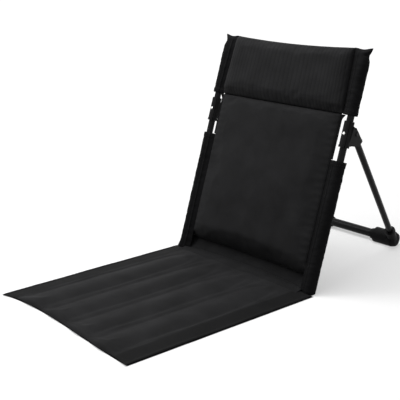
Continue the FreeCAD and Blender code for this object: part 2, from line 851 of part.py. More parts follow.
def covered_pad(cloth_label, foam_label, low, high, low_roll, high_roll, crest, shoulder, trim=None):
    outer = back_pad(low, high, low_roll, high_roll, crest, shoulder, 0.0)
    hollow = back_pad(low, high, low_roll, high_roll, crest, shoulder, 1.0)
    filling = back_pad(low, high, low_roll, high_roll, crest, shoulder, 1.1)
    if trim is not None:
        outer = outer.cut(trim)
        lower = trim.copy()
        lower.translate(Vector(0, -float(dim["foam_inset"]), 0))
        hollow = hollow.cut(lower)
        lower.translate(Vector(0, -float(dim["foam_inset"]) * 0.1, 0))
        filling = filling.cut(lower)
    soft_piece(cloth_label, outer.cut(hollow), flat_place())
    soft_piece(foam_label, filling, flat_place())


def back_cloth():
    seam = float(dim["upper_sleeve_low"])
    gap = float(dim["seat_gap"]) / 2
    covered_pad("back_front_cloth", "back_foam", float(dim["back_low"]), seam - gap,
                float(dim["back_roll"]), float(dim["headrest_roll"]) / 2,
                float(dim["back_crest"]), float(dim["back_shoulder"]))
    covered_pad("headrest_cloth", "headrest_foam", seam + gap, float(dim["back_top"]),
                float(dim["headrest_roll"]), float(dim["headrest_roll"]) * 1.5,
                float(dim["headrest_crest"]), float(dim["headrest_shoulder"]), top_sag())
    width = float(seam_x) * 2
    low = float(dim["back_low"])
    sheet_box = Part.makeBox(width, float(dim["back_top"]) - low, float(dim["cloth"]),
                             Vector(-width / 2, low, 0))
    soft_piece("back_rear_cloth", sheet_box.cut(top_sag()), flat_place())


# Tape that binds the panel's free edge between the sleeves
def window_binding(label, side):
    body = new_body(label)
    section = new_sketch(body, label + "_section", "XY_Plane")
    near = (seam_x + dim["seat_gap"]) * side
    far = near + dim["binding_width"] * side
    bend = far - dim["binding_bevel"] * side
    half = dim["binding_thickness"] / 2
    draw_polygon(section, [(near, -half), (bend, -half), (far, 0), (bend, half), (near, half)])
    low = dim["lower_sleeve_top"] + dim["binding_gap"]
    high = dim["upper_sleeve_low"] - dim["binding_gap"]
    add_feature(body, "Pad", label + "_run", section, high - low)
    forward = Placement(Vector(0, -float(dim["seam_set_forward"]), 0), Rotation())
    keep(body, label, back_place(0, low).multiply(forward))


def crease_cloth(label):
    """Plain strip that hangs from the back to the seat's rear seam."""
    cloth = float(dim["cloth"])
    width = float(seam_x) * 2
    low = float(dim["back_low"])
    strip = Part.makeBox(width, low * 2, cloth, Vector(-width / 2, -low, 0))
    strip.Placement = flat_place()
    reach = float(seat_width)
    corner = Vector(-reach, float(crease_y) - reach, float(dim["seat_rim"]) - reach)
    below_seam = Part.makeBox(reach * 2, reach * 2, reach, corner)
    soft_piece(label, strip.cut(below_seam), Placement())


# Seat: a base cloth, a top cloth sewn into channels, and a foam strip in each channel
def seat_half_width(run):
    rear = float(seat_width) / 2
    front = float(seat_width - dim["seat_draw_in"]) / 2
    return rear + (front - rear) * run / float(dim["seat_length"])


def seat_section(run, swell):
    place = float(crease_y) - run
    base = float(dim["cloth"])
    half = seat_half_width(run)
    rim = float(dim["seat_rim"])
    end_valley = float(dim["seat_end_valley"])
    valley = end_valley + (float(dim["seat_valley"]) - end_valley) * swell
    rise = float(dim["seat_crest"] - dim["seat_valley"]) * swell
    crest = valley + float(dim["pad_least_rise"]) + rise
    channel = float(dim["seat_channel"])
    seams = [channel * i for i in (-2, -1, 0, 1, 2)]
    outline = [(half, rim), (half, base), (-half, base), (-half, rim)]
    for left, right in zip(seams, seams[1:]):
        outline += arched(left, right, valley, crest)[:-1]
    outline.append((seams[-1], valley))
    return [Vector(x, place, z) for x, z in outline], crest


def foam_section(run, swell, number, gap):
    channel = float(dim["seat_channel"])
    inset = float(dim["foam_inset"]) * gap
    base = float(dim["cloth"])
    crest = seat_section(run, swell)[1] - base * gap
    left = channel * (number - 2) + inset
    right = channel * (number - 1) - inset
    place = float(crease_y) - run
    return [Vector(x, place, z) for x, z in arched(left, right, base, crest)]


def seat_stations():
    rear = float(dim["seat_set_forward"])
    front = float(dim["seat_length"])
    taper = float(dim["seat_end_taper"])
    near = [(rear + taper * share, swelling(share)) for share in END_SHARES]
    far = [(front - taper * share, swelling(share)) for share in reversed(END_SHARES)]
    return near + far


def foam_strip(number, gap):
    inset = float(dim["foam_inset"]) * gap
    stations = seat_stations()[1:-1]
    first, last = stations[0][0], stations[-1][0]
    squeeze = (last - first - 2 * inset) / (last - first)
    return flat_sided([
        foam_section(first + inset + (run - first) * squeeze, swell, number, gap) for run, swell in stations
    ])


def rear_corner(side):
    """Block that trims a rear corner of the seat, where the sleeve of the back stands."""
    sleeve_front = float(dim["sleeve_radius"] - dim["sleeve_set_back"] + dim["seat_gap"])
    depth = sleeve_front / math.cos(math.radians(float(recline))) + float(dim["seat_gap"])
    reach = float(seat_width)
    low_x = float(seam_x) if side > 0 else -float(seam_x) - reach
    corner = Vector(low_x, float(crease_y) - depth, -reach / 2)
    return Part.makeBox(reach, reach, reach, corner)


def seat_cloth():
    names = ("outer_left", "inner_left", "inner_right", "outer_right")
    corners = [rear_corner(side) for side in SIDES.values()]
    cover = flat_sided([seat_section(run, swell)[0] for run, swell in seat_stations()])
    for number, name in enumerate(names):
        cover = cover.cut(foam_strip(number, 1.0))
        soft_piece("seat_foam_" + name, foam_strip(number, 1.1), Placement())
    soft_piece("seat_top_cloth", cover.cut(corners), Placement())

    outline = []
    for run, ways in ((float(dim["seat_set_forward"]), (-1, 1)), (float(dim["seat_length"]), (1, -1))):
        for way in ways:
            outline.append(Vector(way * seat_half_width(run), float(crease_y) - run, 0))
    outline.append(outline[0])
    base = Part.Face(Part.makePolygon(outline)).extrude(Vector(0, 0, float(dim["cloth"])))
    soft_piece("seat_base_cloth", base.cut(corners), Placement())


def build():
    tube_top = upright_lift + dim["upright_length"]
    for word, side in SIDES.items():
        upright(word + "_upright_tube", side)
        tube_plug(word + "_top_plug", side, tube_top, True)
        tube_plug(word + "_bottom_plug", side, upright_lift, False)
        hinge_bracket(word + "_hinge_bracket", side)
        leg_eye(word + "_leg_eye", side)
        rear_leg(word + "_rear_leg", side)
        corner_foot(word + "_corner_foot", side)
        upper_sleeve(word + "_upper_sleeve", side)
        lower_sleeve(word + "_lower_sleeve", side)
        window_binding(word + "_window_binding", side)
    grouped_pair("bracket_rivets", bracket_rivet, rivet_place)
    grouped_pair("pivot_pins", pivot_pin, pin_place)
    cross_tube("rear_cross_tube")
    back_cloth()
    crease_cloth("crease_cloth")
    seat_cloth()


def check_and_write():
    doc.recompute()
    for item in doc.Objects:
        if "Invalid" in item.State or "Error" in item.State:
            raise RuntimeError("%s failed: %s" % (item.Label, item.State))
    for piece in parts:
        if piece.Shape.isNull() or not piece.Shape.isValid():
            raise RuntimeError("%s has no valid shape" % piece.Label)
    os.makedirs("parts", exist_ok=True)
    for piece in parts:
        piece.Shape.exportStep("parts/%s.step" % piece.Label)
        print(piece.Label, len(piece.Shape.Solids), "solid(s), volume", round(piece.Shape.Volume, 1))


build()
check_and_write()
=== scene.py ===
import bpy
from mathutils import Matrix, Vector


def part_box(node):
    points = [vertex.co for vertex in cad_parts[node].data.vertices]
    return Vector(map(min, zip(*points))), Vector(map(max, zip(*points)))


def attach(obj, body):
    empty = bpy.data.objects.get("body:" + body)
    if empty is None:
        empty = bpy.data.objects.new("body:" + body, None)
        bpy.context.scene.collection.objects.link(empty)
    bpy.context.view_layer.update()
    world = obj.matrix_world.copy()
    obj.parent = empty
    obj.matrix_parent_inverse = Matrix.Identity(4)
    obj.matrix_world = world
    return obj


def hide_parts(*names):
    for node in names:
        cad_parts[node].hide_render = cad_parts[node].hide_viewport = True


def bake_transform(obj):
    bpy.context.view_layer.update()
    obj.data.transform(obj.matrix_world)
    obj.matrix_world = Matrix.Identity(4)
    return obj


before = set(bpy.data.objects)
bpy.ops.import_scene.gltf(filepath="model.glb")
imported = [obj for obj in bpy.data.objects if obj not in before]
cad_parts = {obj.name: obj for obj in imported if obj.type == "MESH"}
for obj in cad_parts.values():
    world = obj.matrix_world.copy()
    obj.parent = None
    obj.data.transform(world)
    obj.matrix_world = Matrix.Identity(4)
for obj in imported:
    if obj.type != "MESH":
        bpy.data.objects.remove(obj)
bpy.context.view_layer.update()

import math

import bpy
from bpy.props import FloatProperty, FloatVectorProperty, IntProperty, PointerProperty
from bpy.types import Operator, Panel, PropertyGroup
from mathutils import Matrix, Vector, noise

bl_info = {
    "name": "Folding beach chair",
    "version": (1, 0, 0),
    "blender": (4, 5, 0),
    "location": "3D View > Sidebar > Chair",
    "description": "Cloth, padding, stitching and finishes of a folding beach chair",
    "category": "Add Mesh",
}

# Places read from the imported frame
RECLINE = math.radians(17)
SIN, COS = math.sin(RECLINE), math.cos(RECLINE)
TUBE_LOW, TUBE_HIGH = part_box("right_upright_tube")
TUBE_RADIUS = (TUBE_HIGH.x - TUBE_LOW.x) / 2
UPRIGHT_X = (TUBE_HIGH.x + TUBE_LOW.x) / 2
CREASE_Y = TUBE_LOW.y + TUBE_RADIUS * COS - (TUBE_LOW.z + TUBE_RADIUS * SIN) * SIN / COS
SEAM_EASE = 0.003
SEAM_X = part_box("back_rear_cloth")[1].x + SEAM_EASE
SEAT_LOW, SEAT_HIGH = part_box("seat_base_cloth")
SEAT_LENGTH = CREASE_Y - SEAT_LOW.y
SEAT_HALF = SEAT_HIGH.x
SIDES = {"left": -1, "right": 1}

# Heights along the back, and set-backs behind the plane of the uprights
PANEL_LOW = 0.034
HEADREST_SEAM = 0.4012
PANEL_TOP = HEADREST_SEAM - 0.0003
HEADREST_LOW = HEADREST_SEAM + 0.0003
LOWER_SLEEVE_TOP = 0.2987
BACK_TOP = 0.548
TOP_SAG = 0.0055
PANEL_MIDDLE = -0.0025
SEAM_SET_BACK = -0.0020
SLEEVE_CENTRE = (UPRIGHT_X, 0.0012)
SLEEVE_RADIUS = 0.013
SEAM_LAP = 0.0022
HEAD_WIDE = 0.004
HEAD_NARROW = -0.005
HORN_CORNER = (UPRIGHT_X + 0.0175, 0.0, 0.5505)
HORN_START = 0.5325
WELT_AT = 0.0160
FLARE = {"left": 0.006, "right": 0.0}
SLEEVE_FRONT = SLEEVE_RADIUS - SLEEVE_CENTRE[1]
LINING_SWELL = 0.0022
GROUND_GAP = 0.0006
SEAT_REAR = 0.0046
SEAT_HEM = 0.0022
SIDE_STRIP = 0.0034
SEAT_PLAY = -0.0035
STRIP_HALF = SEAM_X + 0.009
FRONT_DRAW = 0.0165

# How the pads are puffed up, and how far off a cover its stitches start
PAD_PRESSURE = 1.2
PAD_TRAVEL = 0.0022
PAD_SLACK = 0.003
SEAT_TRAVEL = 0.0030
RIM = 0.001
STITCH_OFF = 0.05

# Shine of the panel cloth
CLOTH_SHEEN = 0.012
CLOTH_SHINE = 0.055

# Camera and lamps: name, place, aim, size and power
CAMERA_PLACE = (1.4081, CREASE_Y - 1.3745, 0.7305)
CAMERA_LENS = 79.13
CAMERA_TILT = 15.92
CAMERA_TURN = 48.58
LAMPS = (
    ("key", (-0.95, -0.75, 1.40), (0, 0.05, 0.25), 0.9, 18),
    ("overhead", (-0.3, -0.1, 2.2), (0, -0.1, 0), 1.6, 39),
    ("fill", (2.2, -0.6, 1.4), (0, 0.1, 0.25), 1.0, 8),
)
SKY_LIGHT = 0.28


def pairs(*words):
    """Names of pieces that the chair has on both sides."""
    return [side + "_" + word for word in words for side in SIDES]


FRAME_TUBES = (*pairs("upright_tube", "rear_leg"), "rear_cross_tube")
MOULDINGS = pairs("hinge_bracket", "leg_eye", "corner_foot", "top_plug", "bottom_plug")
BRIGHT_STEEL = ("bracket_rivets",)
DARK_STEEL = ("pivot_pins",)


class ChairSizes(PropertyGroup):
    """Sizes of the cloth pieces."""

    cloth: FloatProperty(
        name="Cloth", description="Thickness of the cloth",
        default=0.0009, unit="LENGTH")
    back_crest: FloatProperty(
        name="Back crest", description="How far the back panel stands out",
        default=0.0092, unit="LENGTH")
    headrest_crest: FloatProperty(
        name="Headrest crest", description="How far the headrest stands out",
        default=0.0150, unit="LENGTH")
    roll_depth: FloatProperty(
        name="Lower roll", description="How far the panel's lower end sweeps rearward",
        default=0.030, unit="LENGTH")
    channel: FloatProperty(
        name="Channel", description="Width of a sewn channel of the seat",
        default=0.092, unit="LENGTH")
    seat_crest: FloatProperty(
        name="Seat crest", description="Height of a channel's crown",
        default=0.0138, unit="LENGTH")
    seat_valley: FloatProperty(
        name="Seat valley", description="Height of the seams between channels",
        default=0.0058, unit="LENGTH")
    stitch_pitch: FloatProperty(
        name="Stitch pitch", description="Length from stitch to stitch",
        default=0.0042, unit="LENGTH")
    stitch_radius: FloatProperty(
        name="Thread radius", description="Radius of the sewing thread",
        default=0.00032, unit="LENGTH")
    welt: FloatProperty(
        name="Sleeve welt", description="Height of the raised welt along a sleeve",
        default=0.0021, unit="LENGTH")
    sim_frames: IntProperty(
        name="Frames", description="Frames for which a pad is puffed up",
        default=18, min=1)


class ChairColours(PropertyGroup):
    """Colours of the chair's materials."""

    panel: FloatVectorProperty(
        name="Panel cloth", description="Cloth of back, headrest and seat",
        subtype="COLOR", size=4, default=(0.0096, 0.0096, 0.0101, 1))
    sleeve: FloatVectorProperty(
        name="Sleeve cloth", description="Cloth of the tube sleeves",
        subtype="COLOR", size=4, default=(0.0034, 0.0034, 0.0037, 1))
    tube: FloatVectorProperty(
        name="Tube coat", description="Powder coat of the tubes",
        subtype="COLOR", size=4, default=(0.0085, 0.0085, 0.0089, 1))
    plastic: FloatVectorProperty(
        name="Plastic", description="Moulded brackets, feet and plugs",
        subtype="COLOR", size=4, default=(0.0105, 0.0105, 0.0108, 1))
    steel: FloatVectorProperty(
        name="Rivet steel", description="Plated rivet heads",
        subtype="COLOR", size=4, default=(0.62, 0.62, 0.61, 1))
    thread: FloatVectorProperty(
        name="Thread", description="Sewing thread",
        subtype="COLOR", size=4, default=(0.012, 0.012, 0.0125, 1))


def sizes():
    return bpy.context.scene.chair_sizes


def colours():
    return bpy.context.scene.chair_colours


# Shapes of the reclined back and of the seat
def clamp(share):
    return min(1.0, max(0.0, share))


def smooth(share):
    """Share of a run that starts and ends softly."""
    share = clamp(share)
    return share * share * (3 - 2 * share)


def swell(share):
    """Rise of a rounded pad edge, from 0 at its seam to 1."""
    return math.sqrt(1 - (1 - clamp(share)) ** 2)


def eased(share, pull=0.45):
    """Share of a run, with its steps drawn together at both ends."""
    return (1 - pull) * share + pull * (1 - math.cos(math.pi * share)) / 2


def ripple(x, y, seed, size):
    """Soft unevenness of cloth, from -1 to 1, with waves of about the given size."""
    return noise.noise(Vector((x / size, y / size, seed)))


def back_point(x, set_back, rise):
    """Point of the reclined back, by its distance across, set-back and rise."""
    return Vector((x, CREASE_Y + rise * SIN + set_back * COS, rise * COS - set_back * SIN))


def seat_point(x, run, height):
    """Point of the seat, by its distance across, run from the crease and height."""
    return Vector((x, CREASE_Y - run, height))


def lower_roll(x, rise):
    """Sweep of the back's lower end towards the rear, deepest half-way across."""
    across = max(0.0, 1 - (x / SEAM_X) ** 2)
    top = PANEL_LOW + 0.036 + 0.018 * across ** 0.5
    if rise >= top:
        return 0.0
    share = min(1.0, (top - rise) / (top - PANEL_LOW))
    return sizes().roll_depth * (0.60 + 0.40 * across ** 1.6) * share ** 2.3


def panel_half(rise):
    """Half the panel's width; where it rolls rearward it reaches behind the sleeves."""
    return SEAM_X + 1.05 * lower_roll(SEAM_X, rise)


def head_half(rise):
    """Half the headrest's width, widest at its lower seam."""
    share = clamp((rise - HEADREST_SEAM) / (BACK_TOP - HEADREST_SEAM))
    return SEAM_X + HEAD_WIDE + (HEAD_NARROW - HEAD_WIDE) * share


def panel_middle(x, rise):
    return PANEL_MIDDLE + lower_roll(x, rise)


def side_swell(x, shoulder, half):
    return swell((half - abs(x)) / shoulder)


def top_edge(x):
    return BACK_TOP - TOP_SAG * (1 - (x / SEAM_X) ** 2)


def seat_half(run):
    return SEAT_HALF - 0.003 * run / SEAT_LENGTH


def seat_notch(x):
    """How far the seat's rear edge stands back in front of the sleeves."""
    share = clamp((abs(x) - SEAM_X) / (UPRIGHT_X - 0.006 - SEAM_X))
    front = -SEAM_SET_BACK + (SLEEVE_FRONT + SEAM_SET_BACK) * share
    beside = 1 - smooth((abs(x) - UPRIGHT_X - SLEEVE_RADIUS) / 0.003)
    return (front / COS + SEAT_PLAY - SEAT_REAR) * smooth((abs(x) - SEAM_X + 0.010) / 0.010) * beside


def seat_height(x, run):
    """Top of the seat: crowned channels between sewn seams, with flat strips at the sides."""
    size = sizes()
    edge = 2 * size.channel
    ends = swell((run - SEAT_REAR) / 0.016) * swell((SEAT_LENGTH - run) / 0.024)
    if abs(x) < edge:
        share = (abs(x) / size.channel) % 1.0
        crown = 2 * share * (1 - share) + 0.5 * math.sin(math.pi * share) ** 2
        fade = 0.35 + 0.65 * smooth(run / 0.10)
        top = size.seat_valley + (size.seat_crest - size.seat_valley) * crown * fade
    else:
        outward = smooth((abs(x) - edge) / (SEAT_HALF - edge - 0.004))
        top = SIDE_STRIP + (size.seat_valley - SIDE_STRIP) * (1 - outward)
    gap = seat_half(run) - abs(x)
    bead = 0.0014 * math.exp(-((gap - 0.004) / 0.0025) ** 2)
    return SEAT_HEM + (top + bead - SEAT_HEM) * ends * swell(gap / 0.006)


def seat_rim(x, run, rear, front, side):
    """Fall-off towards the seat's edges, over the given widths."""
    return swell((run - SEAT_REAR) / rear) * swell((SEAT_LENGTH - run) / front) * swell(
        (seat_half(run) - abs(x)) / side)


def front_draw(x):
    """How far the seat's front edge is drawn in between its corners."""
    share = clamp((x + SEAT_HALF) / (2 * SEAT_HALF))
    return FRONT_DRAW * share ** 0.8 * (1 - share) ** 2 / 0.1873


# Mesh helpers
def select_only(*pieces):
    bpy.ops.object.select_all(action="DESELECT")
    for piece in pieces:
        piece.select_set(True)
    bpy.context.view_layer.objects.active = pieces[-1]


def paint(piece, material):
    piece.data.materials.clear()
    piece.data.materials.append(material)


def add_object(name, data):
    made = bpy.data.objects.new(name, data)
    bpy.context.collection.objects.link(made)
    return made


def new_grid(name, across, along, place, flat, hold=None):
    """Sheet whose points are laid by place(u, v); its UV map is the flat cloth in metres."""
    bpy.ops.object.select_all(action="DESELECT")
    bpy.ops.mesh.primitive_grid_add(x_subdivisions=across, y_subdivisions=along, size=1)
    piece = bpy.context.object
    piece.name = name
    piece.data.name = name
    shares = [(vertex.co.x + 0.5, vertex.co.y + 0.5) for vertex in piece.data.vertices]
    layer = piece.data.uv_layers.active
    for loop in piece.data.loops:
        u, v = shares[loop.vertex_index]
        layer.data[loop.index].uv = (u * flat[0], v * flat[1])
    if hold is not None:
        group = piece.vertex_groups.new(name="held")
        for index, (u, v) in enumerate(shares):
            group.add([index], hold(u, v), "REPLACE")
    for vertex, (u, v) in zip(piece.data.vertices, shares):
        vertex.co = place(u, v)
    return piece


def rim(u, v):
    """How near a point of a grid is to the grid's edge."""
    return min(u, 1 - u, v, 1 - v)


def rim_hold(u, v):
    """Hold of a puffed pad: firm at its sewn edge, light elsewhere."""
    return 1.0 if rim(u, v) < RIM else 0.06


def close_up(piece):
    """Merge the points that meet and turn the faces outward."""
    select_only(piece)
    bpy.ops.object.mode_set(mode="EDIT")
    bpy.ops.mesh.select_all(action="SELECT")
    bpy.ops.mesh.remove_doubles(threshold=0.00002)
    bpy.ops.mesh.normals_make_consistent(inside=False)
    bpy.ops.object.mode_set(mode="OBJECT")


def sewn_pad(name, across, along, front, rear, flat, hold):
    """Closed pad: two sheets that are sewn together all round."""
    lining = new_grid(name + "_lining", across, along, rear, flat, lambda u, v: 1.0)
    face = new_grid(name, across, along, front, flat, hold)
    select_only(lining, face)
    bpy.ops.object.join()
    close_up(face)
    return face


def puff(piece, pressure, limit, slack):
    """Fill a pad with air for some frames; no point moves further than the limit."""
    scene = bpy.context.scene
    before = [vertex.co.copy() for vertex in piece.data.vertices]
    select_only(piece)
    cloth = piece.modifiers.new("puff", "CLOTH")
    settings = cloth.settings
    settings.quality = 5
    settings.mass = 0.15
    settings.tension_stiffness = 25
    settings.compression_stiffness = 25
    settings.shear_stiffness = 10
    settings.bending_stiffness = 1.5
    settings.shrink_min = -slack
    settings.use_pressure = True
    settings.uniform_pressure_force = pressure
    settings.vertex_group_mass = "held"
    settings.pin_stiffness = 1.0
    settings.effector_weights.gravity = 0
    cloth.collision_settings.use_collision = False
    cloth.point_cache.frame_start = 1
    cloth.point_cache.frame_end = sizes().sim_frames
    for number in range(1, sizes().sim_frames + 1):
        scene.frame_set(number)
    bpy.ops.object.modifier_apply(modifier=cloth.name)
    scene.frame_set(1)
    for vertex, start in zip(piece.data.vertices, before):
        move = vertex.co - start
        if move.length > limit:
            vertex.co = start + move * (limit / move.length)


def finish_cloth(piece, body, material, levels=1, wall=None):
    """Thickness, smoothing, material and body of a finished cloth piece."""
    select_only(piece)
    if wall is not None:
        solid = piece.modifiers.new("wall", "SOLIDIFY")
        solid.thickness = wall
        solid.offset = -1
        bpy.ops.object.modifier_apply(modifier=solid.name)
    if levels:
        finer = piece.modifiers.new("smooth", "SUBSURF")
        finer.levels = levels
        finer.render_levels = levels
        bpy.ops.object.modifier_apply(modifier=finer.name)
    bpy.ops.object.shade_smooth()
    piece.vertex_groups.clear()
    paint(piece, material)
    if body is not None:
        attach(piece, body)


# Shader helpers
def feed(made, values):
    """Set a node's inputs to plain values, or link them to other nodes' outputs."""
    for label, value in values.items():
        if isinstance(value, bpy.types.NodeSocket):
            made.id_data.links.new(value, made.inputs[label])
        else:
            made.inputs[label].default_value = value


def node(tree, kind, inputs=None, **settings):
    made = tree.nodes.new("ShaderNode" + kind)
    for name, value in settings.items():
        setattr(made, name, value)
    feed(made, inputs or {})
    return made


def math_node(tree, operation, *terms):
    return node(tree, "Math", dict(enumerate(terms)), operation=operation).outputs[0]


def map_range(tree, value, limits):
    """Value laid over a new range; the limits are given by the node's own labels."""
    return node(tree, "MapRange", {"Value": value, **limits}).outputs["Result"]


def seen_rays(tree):
    """1 for what the camera sees, also in a gloss or through glass, and 0 for light on things."""
    path = node(tree, "LightPath")
    return math_node(tree, "MAXIMUM", path.outputs["Is Camera Ray"], math_node(
        tree, "MAXIMUM", path.outputs["Is Glossy Ray"], path.outputs["Is Transmission Ray"]))


def group_ends(group, label, value, *results):
    """Ends of a node group that takes a place and one named value, and gives the named values."""
    group.interface.new_socket("Vector", in_out="INPUT", socket_type="NodeSocketVector")
    socket = group.interface.new_socket(label, in_out="INPUT", socket_type="NodeSocketFloat")
    socket.default_value = value
    for result in results:
        group.interface.new_socket(result, in_out="OUTPUT", socket_type="NodeSocketFloat")
    return group.nodes.new("NodeGroupInput").outputs, group.nodes.new("NodeGroupOutput")


def plain_weave(group):
    """Threads that pass over and under each other, with uneven yarns."""
    into, out = group_ends(group, "Thread", 0.0009, "Height", "Tone")
    split = node(group, "SeparateXYZ", {0: into["Vector"]})
    turns = math_node(group, "DIVIDE", math.pi, into["Thread"])
    warp, weft = (math_node(group, "SINE", math_node(group, "MULTIPLY", split.outputs[axis], turns))
                  for axis in "XY")
    crossing = math_node(group, "MULTIPLY", warp, weft)
    yarn = node(group, "TexNoise", {"Vector": into["Vector"], "Scale": 260, "Detail": 2},
                noise_dimensions="2D").outputs["Fac"]
    height = math_node(group, "ADD", math_node(group, "MULTIPLY", crossing, 0.5), yarn)
    feed(out, {"Height": height, "Tone": yarn})


def mottling(group):
    """Slow change of tone over a surface, as use and handling leave it."""
    into, out = group_ends(group, "Size", 0.05, "Tone")
    scale = math_node(group, "DIVIDE", 1.0, into["Size"])
    broad = node(group, "TexNoise", {"Vector": into["Vector"], "Scale": scale, "Detail": 3,
                                     "Roughness": 0.55})
    feed(out, {"Tone": map_range(group, broad.outputs["Fac"], {"From Min": 0.3, "From Max": 0.7})})


def cloth_ribs(group):
    """Even ribs across a cloth, rounded on top with narrow valleys."""
    into, out = group_ends(group, "Pitch", 0.01, "Height")
    split = node(group, "SeparateXYZ", {0: into["Vector"]})
    turns = math_node(group, "DIVIDE", math.pi, into["Pitch"])
    wave = math_node(group, "SINE", math_node(group, "MULTIPLY", split.outputs["X"], turns))
    feed(out, {"Height": math_node(group, "POWER", math_node(group, "ABSOLUTE", wave), 0.6)})


def fine_grain(group):
    """Fine grain of a moulded or coated surface, and a mask of its scuffs."""
    into, out = group_ends(group, "Size", 0.0008, "Height", "Mask")
    scale = math_node(group, "DIVIDE", 1.0, into["Size"])
    fine = node(group, "TexNoise", {"Vector": into["Vector"], "Scale": scale, "Detail": 3})
    scuff = node(group, "TexNoise", {"Vector": into["Vector"], "Scale": 90, "Detail": 5})
    marks = map_range(group, scuff.outputs["Fac"], {"From Min": 0.58, "From Max": 0.72})
    feed(out, {"Height": fine.outputs["Fac"], "Mask": marks})


def outer_strips(group):
    """Mask of what lies further out than a distance from the middle plane."""
    into, out = group_ends(group, "Start", 0.18, "Mask")
    split = node(group, "SeparateXYZ", {0: into["Vector"]})
    across = math_node(group, "ABSOLUTE", split.outputs["X"])
    past = math_node(group, "SUBTRACT", across, into["Start"])
    feed(out, {"Mask": map_range(group, past, {"From Max": 0.004})})


def place_group(tree, fill, vector, **values):
    """Outputs of a placed node group, which the function fills when it is first asked for."""
    group = bpy.data.node_groups.get(fill.__name__)
    if group is None:
        group = bpy.data.node_groups.new(fill.__name__, "ShaderNodeTree")
        fill(group)
    return node(tree, "Group", {"Vector": vector, **values}, node_tree=group).outputs


def new_material(name):
    material = bpy.data.materials.new(name)
    material.use_nodes = True
    return material, material.node_tree, material.node_tree.nodes["Principled BSDF"]


def tone_mix(tree, fac, dark, light):
    made = node(tree, "Mix", {"A": dark, "B": light, "Factor": fac}, data_type="RGBA")
    return made.outputs["Result"]


def scaled(colour, factor):
    return (colour[0] * factor, colour[1] * factor, colour[2] * factor, 1)


def bump(tree, shader, height, strength, distance, before=None):
    inputs = {"Height": height, "Strength": strength, "Distance": distance}
    if before is not None:
        inputs["Normal"] = before
    normal = node(tree, "Bump", inputs).outputs["Normal"]
    feed(shader, {"Normal": normal})
    return normal


def cloth_material(name, colour, sheen, specular, rib_pitch=None, strip_from=None):
    """Woven cloth with mottled tone, with ribs whose valleys get painted shade, or with darker strips at
    the sides where asked for.
    """
    if name in bpy.data.materials:
        return bpy.data.materials[name]
    material, tree, shader = new_material(name)
    flat = node(tree, "UVMap").outputs["UV"]
    solid = node(tree, "TexCoord").outputs["Object"]
    weave = place_group(tree, plain_weave, flat, Thread=0.0009)
    mottle = place_group(tree, mottling, solid, Size=0.06)
    tone = math_node(tree, "ADD", math_node(tree, "MULTIPLY", mottle["Tone"], 0.65),
                     math_node(tree, "MULTIPLY", weave["Tone"], 0.35))
    rough = map_range(tree, weave["Tone"], {"To Min": 0.66, "To Max": 0.80})
    normal = None
    if rib_pitch is not None:
        ribs = place_group(tree, cloth_ribs, flat, Pitch=rib_pitch)["Height"]
        # Painted shade: the tone is darkened in the valleys between the ribs, on top of the ribs' bump
        tone = math_node(tree, "MULTIPLY", tone, math_node(
            tree, "ADD", math_node(tree, "MULTIPLY", ribs, 0.55), 0.45))
        normal = bump(tree, shader, ribs, 0.6, 0.0009)
    base = tone_mix(tree, tone, scaled(colour, 0.62), scaled(colour, 1.50))
    if strip_from is not None:
        strips = place_group(tree, outer_strips, solid, Start=strip_from)["Mask"]
        share = math_node(tree, "MULTIPLY", strips, 0.7)
        base = tone_mix(tree, share, base, scaled(colour, 0.25))
    feed(shader, {"Base Color": base, "Roughness": rough, "Specular IOR Level": specular,
                  "Sheen Weight": sheen, "Sheen Roughness": 0.55})
    bump(tree, shader, weave["Height"], 0.35, 0.00025, normal)
    return material


def coat_material(name, colour, roughness, grain, specular):
    """Powder coat or moulded plastic: fine grain, and faint scuffs that shine more."""
    if name in bpy.data.materials:
        return bpy.data.materials[name]
    material, tree, shader = new_material(name)
    where = node(tree, "TexCoord").outputs["Object"]
    surface = place_group(tree, fine_grain, where, Size=grain)
    mottle = place_group(tree, mottling, where, Size=0.03)
    tone = math_node(tree, "ADD", math_node(tree, "MULTIPLY", mottle["Tone"], 0.5),
                     math_node(tree, "MULTIPLY", surface["Mask"], 0.5))
    base = tone_mix(tree, tone, scaled(colour, 0.8), scaled(colour, 1.5))
    rough = map_range(tree, surface["Mask"], {"To Min": roughness, "To Max": roughness * 0.8})
    feed(shader, {"Base Color": base, "Roughness": rough, "Specular IOR Level": specular})
    bump(tree, shader, surface["Height"], 0.25, 0.0002)
    return material


def metal_material(name, colour, roughness):
    """Plated steel with fine marks."""
    if name in bpy.data.materials:
        return bpy.data.materials[name]
    material, tree, shader = new_material(name)
    where = node(tree, "TexCoord").outputs["Object"]
    surface = place_group(tree, fine_grain, where, Size=0.0006)
    base = tone_mix(tree, surface["Mask"], colour, scaled(colour, 0.75))
    rough = map_range(tree, surface["Height"], {"To Min": roughness, "To Max": roughness * 1.5})
    feed(shader, {"Base Color": base, "Roughness": rough, "Metallic": 1})
    bump(tree, shader, surface["Height"], 0.1, 0.0001)
    return material


def panel_cloth():
    return cloth_material("woven_panel", colours().panel, CLOTH_SHEEN, CLOTH_SHINE)


def sleeve_cloth():
    return cloth_material("woven_sleeve", colours().sleeve, 0.004, 0.04)


def thread():
    return coat_material("thread", colours().thread, 0.55, 0.0004, 0.1)


class CHAIR_OT_frame_finish(Operator):
    """Give the tubes, mouldings, rivets and pins their finishes"""

    bl_idname = "chair.frame_finish"
    bl_label = "Frame finish"

    def execute(self, context):
        finishes = (
            (FRAME_TUBES, coat_material("coated_tube", colours().tube, 0.25, 0.0010, 0.07)),
            (MOULDINGS, coat_material("grained_plastic", colours().plastic, 0.42, 0.0007, 0.035)),
            (BRIGHT_STEEL, metal_material("plated_steel", colours().steel, 0.30)),
            (DARK_STEEL, coat_material("dark_steel", colours().tube, 0.30, 0.0006, 0.2)),
        )
        for names, material in finishes:
            for name in names:
                paint(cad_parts[name], material)
        return {"FINISHED"}


